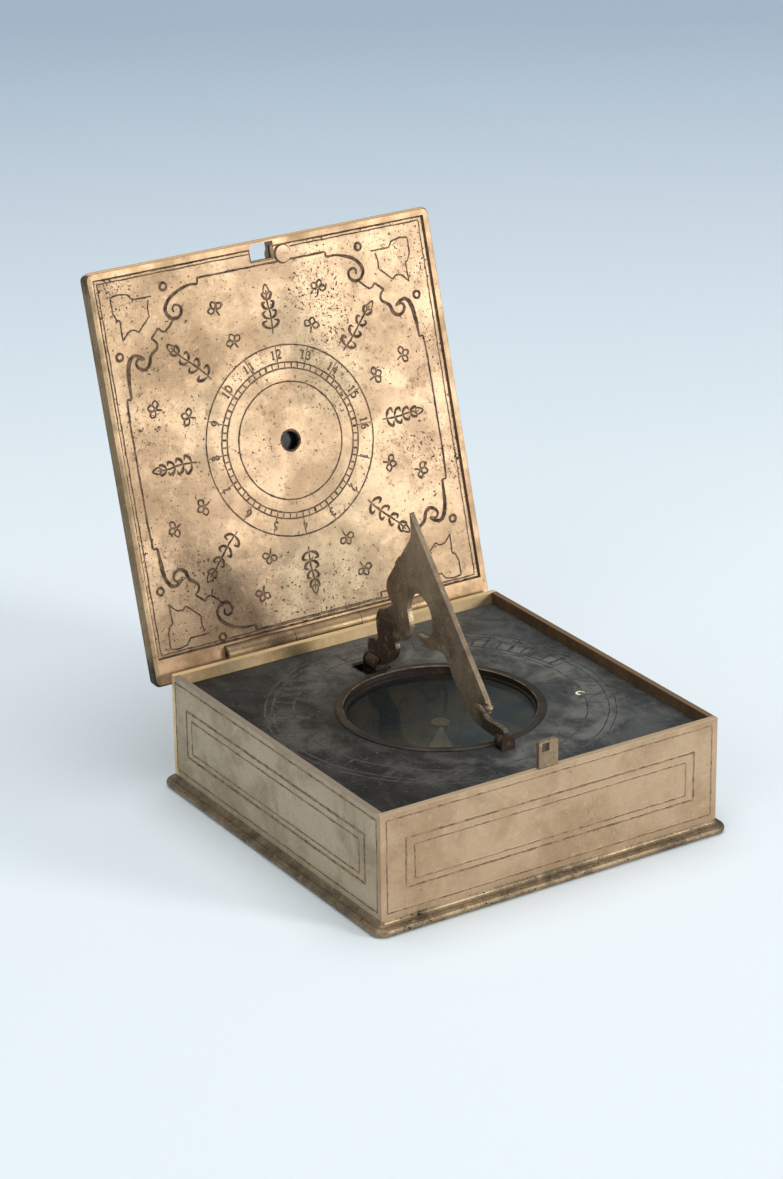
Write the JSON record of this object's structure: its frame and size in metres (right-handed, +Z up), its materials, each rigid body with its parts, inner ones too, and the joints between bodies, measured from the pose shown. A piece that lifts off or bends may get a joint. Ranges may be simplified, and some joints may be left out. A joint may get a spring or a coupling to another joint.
{
  "type": "horizontal sundial",
  "caption": "Pocket horizontal sundial in a hinged square brass case, with a folding pierced gnomon, a dial plate, a glazed magnetic compass and a lid closed by a turning hook.",
  "frame": {"origin": "centre of the underside of the base plate", "axes": "+Z up out of the case, +Y towards the hinge at the back, +X to the right seen from the front"},
  "size_m": [0.0681, 0.0897, 0.0841],
  "materials": {
    "gilt_brass": "aged fire-gilt brass, rubbed and pitted",
    "lid_brass": "aged gilt brass, engraved, with dark pits",
    "side_brass": "dull tarnished gilt brass",
    "dial_grey": "dark tarnished engraved plate",
    "gnomon_bronze": "brown tarnished brass",
    "bowl_copper": "dark turned brass",
    "compass_paper": "greenish aged card",
    "pivot_metal": "pale brass",
    "blued_steel": "blued steel",
    "pin_steel": "dark iron",
    "glass": "old greenish glass"
  },
  "bodies": {
    "case": {"base_plate": "gilt_brass", "front_wall": "lid_brass", "back_wall": "lid_brass", "left_wall": "side_brass", "right_wall": "lid_brass", "corner_posts": "bowl_copper", "dial_plate": "dial_grey", "compass_bowl": "bowl_copper", "bowl_rivets": "gilt_brass", "compass_card": "compass_paper", "needle_pivot": "pivot_metal", "glass_seat_ring": "bowl_copper", "compass_glass": "glass", "glass_retaining_ring": "bowl_copper", "compass_bezel": "gilt_brass", "gnomon_front_fork": "gnomon_bronze", "gnomon_rear_fork": "gnomon_bronze", "gnomon_front_pin": "pin_steel", "gnomon_rear_pin": "pin_steel", "lid_staple": "gilt_brass", "hinge_case_leaf": "gilt_brass", "hinge_leaf_rivets": "gilt_brass", "hinge_pin": "pin_steel"},
    "lid": {"lid_shell": "gilt_brass", "lid_lining": "lid_brass", "lining_rivets": "lid_brass", "hinge_lid_leaf": "gilt_brass", "latch_rivet": "gilt_brass"},
    "gnomon": {"gnomon": "gnomon_bronze"},
    "needle": {"compass_needle": "blued_steel", "needle_cap": "pivot_metal"},
    "hook": {"latch_hook": "gilt_brass"}
  },
  "joints": [
    {"name": "lid_hinge", "type": "hinge", "parent": "case", "child": "lid", "pos_m": [-0.001, 0.0339, 0.02023], "axis": [1, 0, 0], "range_deg": [0, 106]},
    {"name": "gnomon_fold", "type": "hinge", "parent": "case", "child": "gnomon", "pos_m": [0, 0, 0.0192], "axis": [0, -1, 0], "range_deg": [0, 90]},
    {"name": "needle_spin", "type": "hinge", "parent": "case", "child": "needle", "pos_m": [0, 0, 0.0151], "axis": [0, 0, 1], "continuous": true},
    {"name": "hook_turn", "type": "hinge", "parent": "lid", "child": "hook", "pos_m": [0.0029, 0.05467, 0.08033], "axis": [0, 0.9613, -0.2756], "range_deg": [0, 55]}
  ],
  "couplings": [
    {"joint": "gnomon_fold", "follows": "lid_hinge", "ratio": 0.849}
  ]
}
